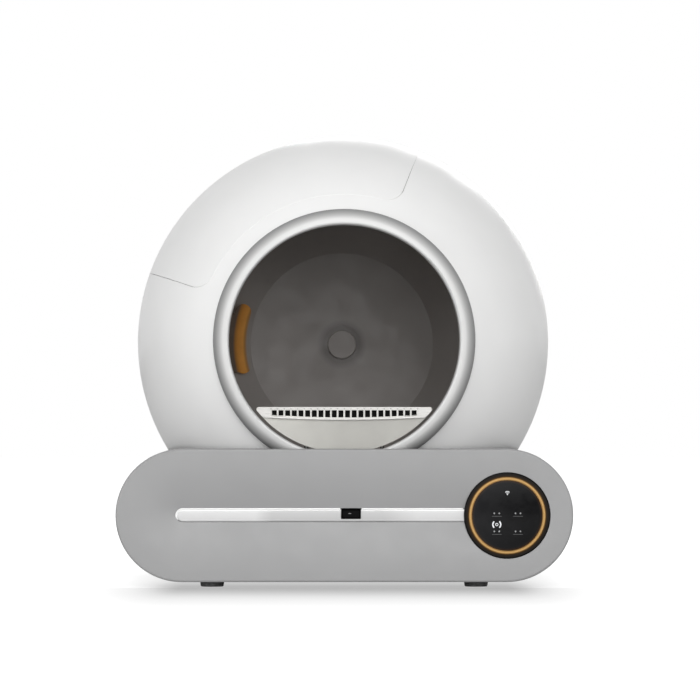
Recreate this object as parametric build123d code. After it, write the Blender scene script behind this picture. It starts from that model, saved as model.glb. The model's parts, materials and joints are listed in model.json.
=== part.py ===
from build123d import *
import math
import os

# A globe-shaped, self-turning litter box. All lengths are in millimetres.
# X runs to the right, Y runs from the front to the back and Z runs up.
# The origin is on the floor, at the middle of the base.

# Shared clearances and cutting overruns
overrun = 2.0
seat_gap = 0.3
fit_gap = 0.06

# Drum: a sphere turning about a level axis that runs from front to back
drum_radius = 252.0
drum_wall = 3.0
liner_wall = 3.0
front_neck_radius = 156.0
front_neck_length = 10.0
rear_neck_length = 15.5
rear_flange = 2.5
back_wall_set = 1.1

# Entry ring and litter fence
ring_width = 19.0
ring_depth = 14.0
ring_lip = 3.0
ring_spigot = 12.0
fence_gap = 3.5
fence_height = 54.0
fence_thick = 8.0
fence_corner = 2.8
fence_peg_radius = 2.5
fence_peg_length = 14.0
fence_peg_offset = 45.0
visor_proud = 3.5
visor_bow = 9.4
slot_margin = 21.0
slot_pitch = 7.9
slot_width = 5.8
slot_drop = 4.0
slot_height_mid = 8.4
slot_bow = 3.0

# Hub cap in the middle of the back wall
hub_radius = 18.2
hub_groove = 6.4
hub_groove_depth = 2.4
hub_proud = 4.0
hub_fillet = 1.5

# Cassette: a sector of the drum that slides out, seen from the front between two radial seams
seam_low_angle = 68.35
seam_high_angle = 160.5
bay_front_margin = 16.0
bay_back_margin = 52.5
bay_corner = 20.0
panel_gap = 0.5
bay_wall = 2.5
bin_clearance = 3.5
bin_wall = 2.5
bay_floor_margin = 12.0
seam_reach_share = 0.6
bin_floor_lift = 1.5
mouth_side_margin = 24.8
mouth_width = 62.0
mouth_length = 124.0
mouth_lip = 4.0

# Flap over the cassette's mouth
flap_thick = 2.0
flap_overlap = 3.0
flap_barrel_radius = 3.4
flap_pin_radius = 1.5
flap_lug_length = 5.0
flap_end_gap = 0.5
flap_corner = 12.0

# Grip recess and push latch in the rear half of the cassette's panel
grip_middle = 52.0
grip_length = 46.0
grip_width = 78.0
grip_depth = 22.0
grip_corner = 10.0
grip_wall = 2.5
latch_radius = 11.0
latch_proud = 5.0
latch_stem_radius = 5.0
latch_stem_length = 9.0
latch_travel = 3.0
latch_fillet = 1.0

# Orange screen that stands off the liner, beside the cassette's mouth
screen_gap = 7.0
screen_wall = 3.0
screen_margin = 2.0
screen_band = 20.0
screen_edge_margin = 20.0
screen_top = 51.0
screen_bottom = 37.0
screen_bow = 2.5
screen_lean = 3.0
screen_comb_angle = 164.0
screen_end_angle = 195.0
screen_slots = 6
screen_slot_width = 7.0
screen_slot_gap = 12.0
screen_rim = 10.0
screen_post_radius = 4.0
screen_post_turn = 2.0

# Drive gears
gear_neck_inset = 13.5
gear_teeth = 76
pinion_teeth = 12
pressure_angle = 25.0
gear_backlash = 0.4
addendum_share = 0.85
dedendum_share = 1.1
gear_gap = 1.0
gear_width = 10.0
gear_rim = 14.0
gear_neck_margin = 4.3
cap_plate = 3.5
cap_spigot = 4.0
cap_fillet = 1.5
pinion_shaft_radius = 5.0

# Support rollers
roller_radius = 12.0
roller_width = 8.0
roller_run_gap = 0.3
roller_side_gap = 0.4
roller_axle_radius = 3.0
front_roller_angle = 25.0
rear_roller_angle = 22.0
module_cheek = 5.5
module_width = 34.0
module_depth = 34.0
module_flange = 5.0
module_flange_thick = 3.0

# Base
side_overhang = 18.0
foot_height = 7.0
floor_space = 34.0
ring_dip = 27.0
base_skin = 2.5
drum_clearance = 4.5
neck_clearance = 6.0
ring_to_fascia = 18.0
fascia_depth = 15.0
fascia_skin = 11.0
fascia_edge = 2.5
gearbox_space = 38.5
rear_cover_thick = 3.0

# Dish in the fascia that falls towards the strip
dish_depth = 7.5
dish_margin = 12.5

# Gloss strip and black window
strip_height = 16.0
strip_margin = 71.0
strip_gap = 0.2
strip_fillet = 2.5
strip_line_lift = 0.2
strip_proud = 1.8
strip_flange = 3.0
strip_flange_thick = 2.0
window_middle = 7.7
window_lift = 1.6
window_width = 23.5
window_height = 11.7
window_proud = 0.8
window_depth = 4.0
window_corner = 1.0
window_rim = 1.6
window_recess = 0.4

# Round touch panel
control_shift = 0.5
control_margin = 27.65
control_gap = 0.3
control_recess = 0.5
rim_width = 5.45
light_width = 3.8
light_recess = 0.2
glass_recess = 0.3
glass_gap = 0.2
glass_thick = 2.5
board_thick = 1.6
housing_flange = 5.0
housing_thick = 3.5
bezel_fillet = 1.2

# Feet and load cells
foot_side_inset = 34.5
foot_end_inset = 59.5
foot_top_radius = 14.5
foot_bottom_radius = 13.5
foot_fillet = 1.5
cell_length = 40.0
cell_width = 14.0
cell_height = 7.0
cell_window_length = 13.0
cell_window_height = 2.4

# Gearbox, motor and main board
gearbox_width = 66.0
gearbox_below = 66.0
gearbox_above = 18.0
gearbox_depth = 24.0
gearbox_corner = 8.0
motor_radius = 19.0
motor_length = 56.0
motor_drop = 53.0
motor_fillet = 2.0
motor_nose_radius = 6.0
motor_nose_length = 3.0
pcb_length = 130.0
pcb_width = 80.0
pcb_thick = 1.6
pcb_lift = 6.5
pcb_x = 110.0
pcb_y = -130.0
post_radius = 3.5
chip_size = 18.0
chip_height = 3.0
chip_shares = (-0.3, 0.0, 0.3)

# Rear cover
vent_count = 9
vent_pitch = 11.0
vent_width = 4.0
vent_height = 34.0
vent_x = 120.0
inlet_x = -150.0
inlet_drop = 40.0
inlet_width = 26.0
inlet_height = 20.0
inlet_depth = 14.0
inlet_corner = 2.0
inlet_bore = 4.0
inlet_floor = 3.0
inlet_pin = 1.0
screw_head_radius = 4.0
screw_head_height = 1.6
screw_shank_radius = 1.6
screw_length = 8.0
screw_slot_width = 1.2
cover_screw_inset = 31.5
screw_boss_radius = 4.5
screw_boss_length = 12.0
cap_screw_count = 6
shell_boss_radius = 6.5
shell_boss_gap = 2.0
shell_screw_web = 3.0

# Worked-out places of the drum
pitch_radius = front_neck_radius - gear_neck_inset
gear_module = 2 * pitch_radius / gear_teeth
gear_tip = pitch_radius + addendum_share * gear_module
gear_root = pitch_radius - dedendum_share * gear_module
gear_bore = gear_root - gear_rim
pinion_pitch_radius = gear_module * pinion_teeth / 2
pinion_drop = pitch_radius + pinion_pitch_radius
inner_radius = drum_radius - drum_wall
liner_radius = inner_radius - liner_wall
entry_radius = front_neck_radius - ring_width
front_neck_start = -math.sqrt(drum_radius**2 - front_neck_radius**2)
front_neck_end = front_neck_start - front_neck_length
ring_front = front_neck_end - ring_depth
ring_back = front_neck_end + ring_spigot
rear_neck_radius = gear_tip + gear_neck_margin
rear_neck_start = math.sqrt(drum_radius**2 - rear_neck_radius**2)
rear_neck_end = rear_neck_start + rear_neck_length
back_wall = rear_neck_end - back_wall_set
back_wall_radius = math.sqrt(liner_radius**2 - back_wall**2)
gear_back = rear_neck_end + gear_gap + gear_width
cap_back = gear_back + cap_plate
front_track = (front_neck_start + front_neck_end) / 2
rear_track = (rear_neck_start + rear_neck_end) / 2

# Worked-out places of the cassette, the fence and the screen
sector_half = (seam_high_angle - seam_low_angle) / 2
sector_tilt = (seam_high_angle + seam_low_angle) / 2 - 90
bay_front = front_neck_start + bay_front_margin
bay_back = rear_neck_start - bay_back_margin
bay_middle = (bay_front + bay_back) / 2
bay_floor = entry_radius + bay_floor_margin
bin_floor = bay_floor + bay_wall + bin_floor_lift
seam_floor = bay_floor * seam_reach_share
sector_slope = math.tan(math.radians(sector_half))
bin_side_inset = (bin_clearance + bin_wall) / math.cos(math.radians(sector_half))
bin_floor_half = sector_slope * (bin_floor + bin_wall) - bin_side_inset
mouth_near = bin_floor_half - mouth_side_margin - mouth_width
panel_inner_radius = inner_radius + seat_gap
fence_radius = entry_radius - fence_gap
fence_drop = fence_radius - fence_height
fence_half = math.sqrt(fence_radius**2 - fence_drop**2)
slot_count = int((2 * fence_half - 2 * slot_margin + slot_pitch - slot_width) / slot_pitch)
screen_inner_radius = back_wall_radius + screen_margin
screen_outer_radius = liner_radius - screen_edge_margin
screen_slot_start = screen_inner_radius + screen_band + screen_slot_gap
screen_slot_end = screen_outer_radius - screen_rim

# Worked-out places of the base
front_reach = -ring_front + ring_to_fascia + fascia_depth
rear_reach = cap_back + gearbox_space + rear_cover_thick
base_depth = front_reach + rear_reach
base_front = -base_depth / 2
base_back = base_depth / 2
base_width = 2 * (drum_radius + side_overhang)
base_height = floor_space + drum_radius - front_neck_radius + ring_dip
base_middle = foot_height + base_height / 2
flat_half = (base_width - base_height) / 2
drum_y = base_front + front_reach
drum_z = foot_height + floor_space + drum_radius
front_trough = front_neck_radius + neck_clearance
rear_trough = rear_neck_radius + neck_clearance
trough_front = ring_front - neck_clearance / 2
trough_back = cap_back + neck_clearance / 2
cradle_radius = drum_radius + drum_clearance
dish_reach = base_height / 2 - dish_margin
strip_left = strip_margin - base_width / 2
strip_z = base_middle + strip_line_lift
control_x = flat_half + control_shift
control_radius = base_height / 2 - control_margin
light_outer_radius = control_radius - rim_width
light_inner_radius = light_outer_radius - light_width
foot_x = flat_half - foot_side_inset
foot_y = base_back - foot_end_inset
cover_screw_x = flat_half - cover_screw_inset
shell_screw_x = foot_x + cell_length / 2 + shell_boss_gap + shell_boss_radius
shell_screw_z = base_middle - shell_screw_web

drum_place = Pos(0, drum_y, drum_z)
sector_place = drum_place * Rot(0, -sector_tilt, 0)


# Shared shapes
def prism(sketch, start, end):
    """Extrude a sketch of X and Z from one depth to another."""
    return extrude(Plane.XZ.offset(-end) * sketch, amount=end - start)


def disc(radius, start, end):
    """A solid disc about the Y axis."""
    return prism(Circle(radius), start, end)


def tube(outer, inner, start, end):
    """A tube about the Y axis."""
    return prism(Circle(outer) - Circle(inner), start, end)


def turned(edges):
    """Turn a closed outline of radius and depth about the Y axis."""
    return revolve(make_face(edges), Axis.Y)


def stadium(height, width):
    """A pill outline, level, centred on the origin."""
    return SlotOverall(width, height)


def base_pill(inset, start, end):
    """The base's pill outline as a solid, drawn in by an inset."""
    outline = stadium(base_height - 2 * inset, base_width - 2 * inset)
    return prism(Pos(0, base_middle) * outline, start, end)


def wedge(inset, inner, outer):
    """The cassette's sector, upright, with rounded radial corners, drawn in by an inset."""
    shift = inset / math.cos(math.radians(sector_half))
    low = sector_slope * inner - shift
    high = sector_slope * outer - shift
    outline = Polygon((-low, inner), (low, inner), (high, outer), (-high, outer), align=None)
    block = prism(outline, bay_front + inset, bay_back - inset)
    radial = [e for e in block.edges() if abs(e.tangent_at(0).Y) < 0.5 and abs(e.tangent_at(0).Z) > 0.1]
    return fillet(radial, bay_corner - inset)


def reach_at(radius, depth):
    """Radius from the drum's axis of a globe at a depth."""
    return math.sqrt(radius**2 - depth**2)


def globe_arc(radius, start, end):
    """Arc of a globe's outline in radius and depth, from one depth to another."""
    middle = (math.asin(start / radius) + math.asin(end / radius)) / 2
    through = (radius * math.cos(middle), radius * math.sin(middle))
    return ThreePointArc((reach_at(radius, start), start), through, (reach_at(radius, end), end))


def arc_point(middle_radius, middle_depth, radius, angle):
    """A point on a circle in radius and depth."""
    turn = math.radians(angle)
    return (middle_radius + radius * math.cos(turn), middle_depth + radius * math.sin(turn))


def chain(points):
    """Straight lines through points of an outline."""
    return [Line(a, b) for a, b in zip(points[:-1], points[1:])]


def globe(radius):
    """A ball about the drum's centre, with its poles on the drum's axis."""
    return turned([globe_arc(radius, -radius, radius), Line((0, radius), (0, -radius))])


def screw(x, z, depth):
    """A pan head screw along Y, driven in from the back, whose head stands on the face at a depth."""
    head = disc(screw_head_radius, 0, screw_head_height)
    head -= Pos(0, screw_head_height, 0) * Box(2 * screw_head_radius, screw_head_height, screw_slot_width)
    shank = disc(screw_shank_radius, -screw_length, 0)
    return Pos(x, depth, z) * (head + shank)


def tooth_half_angle(radius, teeth, base_radius, pitch):
    """Half the angle of a tooth at a radius, on its involute flank."""
    flank = math.acos(min(1.0, base_radius / radius))
    flank_turn = math.tan(flank) - flank
    pitch_flank = math.radians(pressure_angle)
    pitch_turn = math.tan(pitch_flank) - pitch_flank
    tooth = math.pi * gear_module / 2 - gear_backlash / 2
    return tooth / (2 * pitch) + pitch_turn - flank_turn


def gear_outline(teeth, first_angle, flank_steps):
    """A spur gear's outline whose first tooth points at an angle."""
    pitch = gear_module * teeth / 2
    base_radius = pitch * math.cos(math.radians(pressure_angle))
    tip = pitch + addendum_share * gear_module
    root = pitch - dedendum_share * gear_module
    start = max(base_radius, root)
    heights = [start + (tip - start) * i / flank_steps for i in range(flank_steps + 1)]
    flank = [(r, tooth_half_angle(r, teeth, base_radius, pitch)) for r in heights]
    flank.insert(0, (root, flank[0][1]))
    points = []
    for tooth in range(teeth):
        middle = math.radians(first_angle) + 2 * math.pi * tooth / teeth
        for radius, half in flank:
            points.append((radius * math.cos(middle - half), radius * math.sin(middle - half)))
        for radius, half in reversed(flank):
            points.append((radius * math.cos(middle + half), radius * math.sin(middle + half)))
    return Polygon(*points, align=None)


# Drum shells
def drum_front_shell():
    """Front half of the globe, with the neck that carries the entry ring."""
    bore = front_neck_radius - drum_wall
    inner_start = -reach_at(inner_radius, bore)
    neck = [(front_neck_radius, front_neck_start), (front_neck_radius, front_neck_end)]
    neck += [(bore, front_neck_end), (bore, inner_start)]
    edges = [Line((inner_radius, 0), (drum_radius, 0)), globe_arc(drum_radius, 0, front_neck_start)]
    edges += chain(neck) + [globe_arc(inner_radius, inner_start, 0)]
    return drum_place * (turned(edges) - opening_cut())


def drum_rear_shell():
    """Rear half of the globe, with the neck and the flange that carries the gear."""
    bore = rear_neck_radius - drum_wall
    inner_end = reach_at(inner_radius, bore)
    step = rear_neck_end - rear_flange
    neck = [(rear_neck_radius, rear_neck_start), (rear_neck_radius, rear_neck_end)]
    neck += [(flange_bore(), rear_neck_end), (flange_bore(), step), (bore, step), (bore, inner_end)]
    edges = [Line((inner_radius, 0), (drum_radius, 0)), globe_arc(drum_radius, 0, rear_neck_start)]
    edges += chain(neck) + [globe_arc(inner_radius, inner_end, 0)]
    return drum_place * (turned(edges) - opening_cut())


def flange_bore():
    """Where the rear flange meets the liner."""
    return reach_at(inner_radius, rear_neck_end - rear_flange)


def opening_cut():
    """The sector that the cassette fills."""
    return Rot(0, -sector_tilt, 0) * wedge(0, seam_floor, drum_radius * 2)


def drum_liner():
    """Dark inner ball with a flat back wall, open at the ring and at the bay."""
    rear = back_wall + liner_wall
    front = ring_back
    back = [(reach_at(inner_radius, rear), rear), (0, rear), (0, back_wall), (back_wall_radius, back_wall)]
    edges = [globe_arc(inner_radius, front, rear)] + chain(back) + [globe_arc(liner_radius, back_wall, front)]
    edges.append(Line((reach_at(liner_radius, front), front), (reach_at(inner_radius, front), front)))
    liner = turned(edges)
    liner -= tube(hub_radius + hub_groove, hub_radius, back_wall - overrun, back_wall + hub_groove_depth)
    bay = wedge(-bay_wall - seat_gap, bay_floor - bay_wall, drum_radius * 2)
    return drum_place * (liner - Rot(0, -sector_tilt, 0) * bay)


def entry_ring():
    """Silver ring with a quarter-round front and a spigot inside the neck."""
    crest = entry_radius + ring_lip
    spigot = front_neck_radius - drum_wall
    start = (entry_radius, ring_back)
    lip_end = (entry_radius, ring_front + ring_lip)
    crown = (crest, ring_front)
    outer = (front_neck_radius, front_neck_end)
    ledge = (spigot, front_neck_end)
    tail = (spigot, ring_back - ring_lip)
    heel = (reach_at(inner_radius, ring_back) - ring_lip, ring_back)
    lip = ThreePointArc(lip_end, arc_point(crest, ring_front + ring_lip, ring_lip, 225), crown)
    width = front_neck_radius - crest
    roll_radius = (width**2 + ring_depth**2) / (2 * ring_depth)
    half_turn = math.degrees(math.asin(width / roll_radius)) / 2
    roll_middle = arc_point(crest, ring_front + roll_radius, roll_radius, 270 + half_turn)
    roll = ThreePointArc(crown, roll_middle, outer)
    edges = [Line(start, lip_end), lip, roll, Line(outer, ledge), Line(ledge, tail), Line(tail, heel)]
    edges.append(Line(heel, start))
    ring = turned(edges)
    for side in (-1, 1):
        ring -= fence_peg(side, fence_peg_radius + fit_gap, fence_peg_length + seat_gap)
    return drum_place * ring


def hub_cap():
    """Boss in the middle of the back wall."""
    cap = disc(hub_radius, back_wall - hub_proud, back_wall)
    return drum_place * fillet(cap.edges().group_by(Axis.Y)[0], hub_fillet)


def drum_screen():
    """Orange slotted screen off the liner, with the round-ended band that shows in the entry."""
    skin_radius = liner_radius - screen_gap
    middle = screen_inner_radius + screen_band / 2
    top = (screen_lean - middle, screen_top - screen_band / 2)
    bottom = (screen_lean - middle, screen_band / 2 - screen_bottom)
    bowed = (screen_lean - middle - screen_bow, (screen_top - screen_bottom) / 2)
    outline = SlotArc(ThreePointArc(top, bowed, bottom), screen_band)
    outline += sector_sketch(middle, screen_outer_radius, screen_comb_angle, screen_end_angle)
    pitch = (screen_end_angle - screen_comb_angle) / screen_slots
    slot_length = screen_slot_end - screen_slot_start
    for i in range(screen_slots):
        angle = screen_comb_angle + pitch * (i + 0.5)
        slot = Pos((screen_slot_start + screen_slot_end) / 2, 0) * SlotOverall(slot_length, screen_slot_width)
        outline -= Rot(0, 0, angle) * slot
    skin = globe(skin_radius) - globe(skin_radius - screen_wall)
    screen = skin & prism(outline, 0, drum_radius)
    posts = globe(liner_radius) - globe(skin_radius - screen_wall / 2)
    spots = Sketch()
    for angle in (screen_comb_angle, screen_end_angle):
        for radius in (screen_slot_start - screen_post_radius, screen_outer_radius - screen_post_radius):
            inward = screen_post_turn if angle == screen_comb_angle else -screen_post_turn
            spots += Rot(0, 0, angle + inward) * Pos(radius, 0) * Circle(screen_post_radius / 2)
    screen += posts & prism(spots, 0, drum_radius)
    return drum_place * screen


def sector_sketch(inner, outer, start, end):
    """A ring sector between two angles."""
    arc_out = CenterArc((0, 0), outer, start, end - start)
    arc_in = CenterArc((0, 0), inner, start, end - start)
    side_a = Line(arc_in @ 0, arc_out @ 0)
    side_b = Line(arc_in @ 1, arc_out @ 1)
    return make_face([arc_out, side_b, arc_in, side_a])


# Cassette and its bay
def mouth_sketch(growth):
    """The mouth in the floor, seen from above the upright sector."""
    left = -(mouth_near + mouth_width / 2)
    return Pos(left, bay_middle) * Rectangle(mouth_width + 2 * growth, mouth_length + 2 * growth)


def floor_block(sketch, low, high):
    """A block that stands between two heights of the upright sector."""
    return Pos(0, 0, low) * extrude(sketch, amount=high - low)


def cassette_bay():
    """Walls and floor of the bay that the cassette slides into."""
    bay = wedge(-bay_wall, bay_floor, drum_radius * 2)
    bay -= wedge(0, bay_floor + bay_wall, drum_radius * 3)
    bay &= globe(inner_radius)
    bay -= floor_block(mouth_sketch(mouth_lip), bay_floor - overrun, bay_floor + bay_wall + overrun)
    return sector_place * bay


def panel_cut():
    """Block of the cassette that carries its outer panel."""
    return wedge(panel_gap, seam_floor, drum_radius * 2)


def grip_block(growth, low):
    """The grip recess as a block, from a height outward."""
    outline = RectangleRounded(grip_width + 2 * growth, grip_length + 2 * growth, grip_corner + growth)
    return floor_block(Pos(0, grip_middle) * outline, low, drum_radius * 2)


def grip_floor():
    """Height of the grip recess's floor."""
    return math.sqrt(drum_radius**2 - grip_middle**2) - grip_depth


def cassette_panel():
    """Outer panel of the cassette, flush with the globe, with its grip recess."""
    ball = globe(drum_radius)
    panel = ball & panel_cut()
    panel -= globe(panel_inner_radius)
    cup = grip_block(grip_wall, grip_floor() - grip_wall) & ball
    panel += cup - globe(inner_radius - grip_depth * 2)
    panel -= grip_block(0, grip_floor())
    bore = Cylinder(latch_stem_radius + fit_gap, 4 * grip_wall)
    panel -= Pos(0, grip_middle, grip_floor() - grip_wall / 2) * bore
    return sector_place * panel


def cassette_bin():
    """Waste bin behind the panel: walls, floor, mouth and hinge lugs."""
    outer = wedge(bin_clearance, bin_floor, drum_radius * 2) & globe(panel_inner_radius)
    inner = wedge(bin_clearance + bin_wall, bin_floor + bin_wall, drum_radius * 3)
    body = outer - inner
    body -= floor_block(mouth_sketch(0), bin_floor - overrun, bin_floor + bin_wall + overrun)
    lug_base = bin_floor + bin_wall
    for side in (-1, 1):
        middle = bay_middle + side * lug_offset()
        block = Box(2 * flap_barrel_radius, flap_lug_length, 2 * flap_barrel_radius)
        body += Pos(hinge_x(), middle, lug_base + flap_barrel_radius) * block
    body -= Pos(hinge_x(), 0, hinge_z()) * disc(flap_pin_radius, bay_front, bay_back)
    return sector_place * body


def hinge_x():
    """Sideways place of the flap's hinge in the upright sector."""
    return -(mouth_near - flap_overlap)


def hinge_z():
    """Height of the flap's hinge in the upright sector."""
    return bin_floor + bin_wall + seat_gap + flap_barrel_radius


def flap_length():
    """Length of the flap along its hinge."""
    return mouth_length + 2 * flap_overlap


def lug_offset():
    """Distance from the mouth's middle to the middle of a hinge lug."""
    return flap_length() / 2 + flap_end_gap + flap_lug_length / 2


def bin_flap():
    """Flap that lies over the mouth and swings up into the bin."""
    low = bin_floor + bin_wall + seat_gap
    reach = mouth_width + 2 * flap_overlap
    outline = Pos(hinge_x() - reach / 2, bay_middle) * Rectangle(reach, flap_length())
    outline = fillet(outline.vertices().group_by(Axis.X)[0], flap_corner)
    plate = floor_block(outline, low, low + flap_thick)
    start = bay_middle - flap_length() / 2
    end = bay_middle + flap_length() / 2
    flap = plate + Pos(hinge_x(), 0, hinge_z()) * disc(flap_barrel_radius, start, end)
    flap -= Pos(hinge_x(), 0, hinge_z()) * disc(flap_pin_radius + fit_gap, start - overrun, end + overrun)
    return sector_place * flap


def flap_pin():
    """Steel pin held in the bin's two lugs."""
    reach = lug_offset() + flap_lug_length / 2
    pin = disc(flap_pin_radius, bay_middle - reach, bay_middle + reach)
    return sector_place * Pos(hinge_x(), 0, hinge_z()) * pin


def latch_button():
    """Round push button on the grip recess's floor, with its stem."""
    low = grip_floor() + latch_travel + seat_gap
    cap = Pos(0, grip_middle, low + latch_proud / 2) * Cylinder(latch_radius, latch_proud)
    cap = fillet(cap.edges().group_by(Axis.Z)[-1], latch_fillet)
    stem_low = low - latch_stem_length - grip_wall
    stem = Pos(0, grip_middle, (stem_low + low) / 2) * Cylinder(latch_stem_radius, low - stem_low)
    return sector_place * (cap + stem)


# Litter fence
def fence_peg(side, radius, length):
    """One peg under the fence, from its body down into the ring."""
    x = side * fence_peg_offset
    edge = math.sqrt(fence_radius**2 - fence_peg_offset**2)
    depth = ring_front + ring_lip + fence_thick / 2 + visor_proud
    top = -edge + fence_peg_length / 2
    bottom = -edge + fence_peg_length / 2 - length
    return Pos(x, depth, (top + bottom) / 2) * Cylinder(radius, top - bottom)


def fence_face():
    """Outline of the fence: a circle segment with rounded top corners."""
    left = (-fence_half, -fence_drop)
    right = (fence_half, -fence_drop)
    face = make_face([ThreePointArc(left, (0, -fence_radius), right), Line(right, left)])
    return fillet(face.vertices(), fence_corner)


def bowed_band(half, top, drop_end, drop_middle):
    """A band with a straight top and a lower edge that bows down in the middle."""
    low_edge = ThreePointArc((-half, top - drop_end), (0, top - drop_middle), (half, top - drop_end))
    left = Line((-half, top - drop_end), (-half, top))
    right = Line((half, top - drop_end), (half, top))
    return make_face([low_edge, right, Line((half, top), (-half, top)), left])


def slot_band_half():
    """Half the width of the row of slots."""
    return (slot_pitch * (slot_count - 1) + slot_width) / 2


def slot_sketch():
    """The row of slots under the fence's top edge."""
    top = -fence_drop - slot_drop
    half = slot_band_half()
    low = slot_height_mid - slot_bow
    band = bowed_band(half, top, low, slot_height_mid)
    bars = Sketch()
    for i in range(slot_count):
        x = (i - (slot_count - 1) / 2) * slot_pitch
        bars += Pos(x, top - slot_height_mid / 2) * Rectangle(slot_width, slot_height_mid + slot_drop / 2)
    return band & bars


def litter_fence():
    """Fence with a slotted top band, standing on two pegs."""
    front = ring_front + ring_lip + visor_proud
    body = prism(fence_face(), front, front + fence_thick)
    half = slot_band_half() + slot_height_mid * 2
    visor_drop = slot_drop + slot_height_mid
    visor = bowed_band(half, -fence_drop, visor_drop - visor_bow + slot_bow, visor_drop + slot_bow)
    body += prism(visor & fence_face(), front - visor_proud, front)
    body -= prism(slot_sketch(), front - visor_proud - overrun, front + fence_thick / 2)
    for side in (-1, 1):
        body += fence_peg(side, fence_peg_radius, fence_peg_length)
    return drum_place * body


def fence_grille():
    """Black insert that fills the bottom of the slots."""
    front = ring_front + ring_lip + visor_proud + fence_thick / 4
    return drum_place * prism(slot_sketch(), front, front + fence_thick / 4)


# Gear train
def ring_gear():
    """Large gear on the rear neck."""
    outline = gear_outline(gear_teeth, -90, 1) - Circle(gear_bore)
    teeth = prism(outline, rear_neck_end + gear_gap, gear_back)
    hub = tube(gear_root - gear_gap, gear_bore, rear_neck_end, rear_neck_end + gear_gap)
    gear = teeth + hub
    for i in range(cap_screw_count):
        gear -= cap_screw(i)
    return drum_place * gear


def drum_rear_cap():
    """White disc over the gear, with a spigot in the gear's bore."""
    plate = disc(rear_neck_radius, gear_back, cap_back)
    plate = fillet(plate.edges().group_by(Axis.Y)[-1], cap_fillet)
    spigot = tube(gear_bore - fit_gap, gear_bore - cap_spigot, rear_neck_end + gear_gap, gear_back)
    cap = plate + spigot
    for i in range(cap_screw_count):
        cap -= cap_screw(i)
    return drum_place * cap


def cap_screw(i):
    """One of the screws that hold the cap to the gear."""
    middle = (gear_bore + gear_root) / 2
    turn = 2 * math.pi * (i + 0.5) / cap_screw_count
    return screw(middle * math.cos(turn), middle * math.sin(turn), cap_back)


def drum_screws():
    """The cap's screws."""
    screws = [cap_screw(i) for i in range(cap_screw_count)]
    return drum_place * Compound(children=screws)


def pinion_place():
    """Where the pinion's axis stands."""
    return Pos(0, drum_y, drum_z - pinion_drop)


def drive_pinion():
    """Small gear that turns the drum, with its shaft."""
    outline = gear_outline(pinion_teeth, 90 + 180 / pinion_teeth, 3)
    start = rear_neck_end + gear_gap
    gear = prism(outline, start, gear_back)
    shaft = disc(pinion_shaft_radius, gear_back, gearbox_front() + gearbox_depth / 2)
    return pinion_place() * (gear + shaft)


def gearbox_front():
    """Front face of the gearbox, behind the trough, from the drum's centre."""
    return trough_back + base_skin + seat_gap


def gearbox_housing():
    """Flat gearbox that stands behind the drum's trough."""
    height = gearbox_below + gearbox_above
    middle = (gearbox_above - gearbox_below) / 2
    outline = Pos(0, middle) * RectangleRounded(gearbox_width, height, gearbox_corner)
    start = gearbox_front()
    box = prism(outline, start, start + gearbox_depth)
    box -= disc(pinion_shaft_radius + fit_gap, start - overrun, start + gearbox_depth / 2 + seat_gap)
    return pinion_place() * box


def drive_motor():
    """Motor that reaches forward under the drum."""
    start = gearbox_front()
    can = disc(motor_radius, start - motor_length, start)
    can = fillet(can.edges().group_by(Axis.Y)[0], motor_fillet)
    nose = disc(motor_nose_radius, start - motor_length - motor_nose_length, start - motor_length)
    return pinion_place() * Pos(0, 0, -motor_drop) * (can + nose)


# Support rollers
def roller_places():
    """Name, track depth, neck radius and angle of each roller."""
    front = (front_track, front_neck_radius, front_roller_angle)
    rear = (rear_track, rear_neck_radius, rear_roller_angle)
    places = []
    for row, (track, neck, angle) in (("front", front), ("rear", rear)):
        for side, sign in (("left", -1), ("right", 1)):
            places.append((row, side, track, neck, sign * angle))
    return places


def roller_place(track, neck, angle):
    """Frame of a roller: its axis along Y, the drum's centre straight above it."""
    reach = neck + roller_radius + roller_run_gap
    return drum_place * Rot(0, -angle, 0) * Pos(0, track, -reach)


def roller_solid(place):
    """A roller with a bore for its axle."""
    half = roller_width / 2
    wheel = disc(roller_radius, -half, half)
    return place * (wheel - disc(roller_axle_radius + fit_gap, -half - overrun, half + overrun))


def module_half():
    """Half of a roller module's depth along the drum's axis."""
    return roller_width / 2 + roller_side_gap + module_cheek


def roller_module(place):
    """Carrier that drops into the cradle and holds one roller's axle."""
    half = module_half()
    lift = roller_radius + neck_clearance
    top = module_depth - lift
    block = Pos(0, 0, lift - module_depth / 2) * Box(module_width, 2 * half, module_depth)
    flange_width = module_width + 2 * module_flange
    flange = Pos(0, 0, -top - module_flange_thick / 2) * Box(flange_width, 2 * half, module_flange_thick)
    pocket_half = roller_width / 2 + roller_side_gap
    pocket = disc(roller_radius + 2 * roller_side_gap, -pocket_half, pocket_half)
    open_width = 2 * (roller_radius + 2 * roller_side_gap)
    pocket += Pos(0, 0, module_depth / 2) * Box(open_width, 2 * pocket_half, module_depth)
    axle = disc(roller_axle_radius, -half - overrun, half + overrun)
    return place * (block + flange - pocket - axle) - clearance_space()


def module_hole(place):
    """Hole in the cradle that a roller module fills."""
    half = module_half() + seat_gap
    lift = roller_radius + neck_clearance
    width = module_width + 2 * seat_gap
    return place * Pos(0, 0, lift - module_depth / 2) * Box(width, 2 * half, module_depth)


def clearance_space():
    """All the room that the turning drum needs in the base."""
    space = globe(cradle_radius)
    space += disc(front_trough, trough_front, front_track)
    space += disc(rear_trough, rear_neck_start / 2, trough_back)
    return drum_place * space


def cradle_skin():
    """The outside of the cradle's wall."""
    skin = globe(cradle_radius + base_skin)
    skin += disc(front_trough + base_skin, trough_front - base_skin, front_track)
    skin += disc(rear_trough + base_skin, rear_neck_start / 2, trough_back + base_skin)
    return drum_place * skin


# Base
def shell_front():
    """Depth where the base's shells start."""
    return base_front + fascia_depth


def shell_back():
    """Depth where the base's shells end."""
    return base_back - rear_cover_thick


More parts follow.
